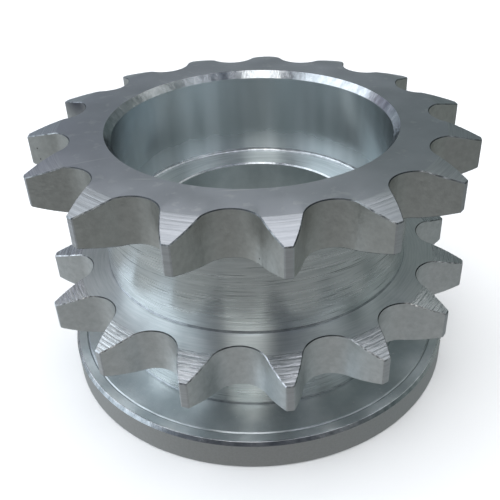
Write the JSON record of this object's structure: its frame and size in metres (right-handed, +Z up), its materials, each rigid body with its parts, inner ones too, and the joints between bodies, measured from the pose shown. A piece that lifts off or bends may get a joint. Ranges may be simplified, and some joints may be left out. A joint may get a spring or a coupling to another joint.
{
  "type": "chain sprocket",
  "caption": "Double chain sprocket: spaced rows of bevelled teeth on one hub that ends in a round flange, with a stepped bore for a bearing.",
  "frame": {"origin": "on the bore's axis, at the flange's flat underside", "axes": "+Z up along the bore's axis, out of the bearing seat; +X through the middle of a tooth gap"},
  "size_m": [0.0823, 0.0828, 0.0494],
  "materials": {
    "zinc_plated_steel": "turned and hobbed, then bright zinc plated"
  },
  "bodies": {
    "root": {"chain_sprocket": "zinc_plated_steel"}
  },
  "joints": []
}
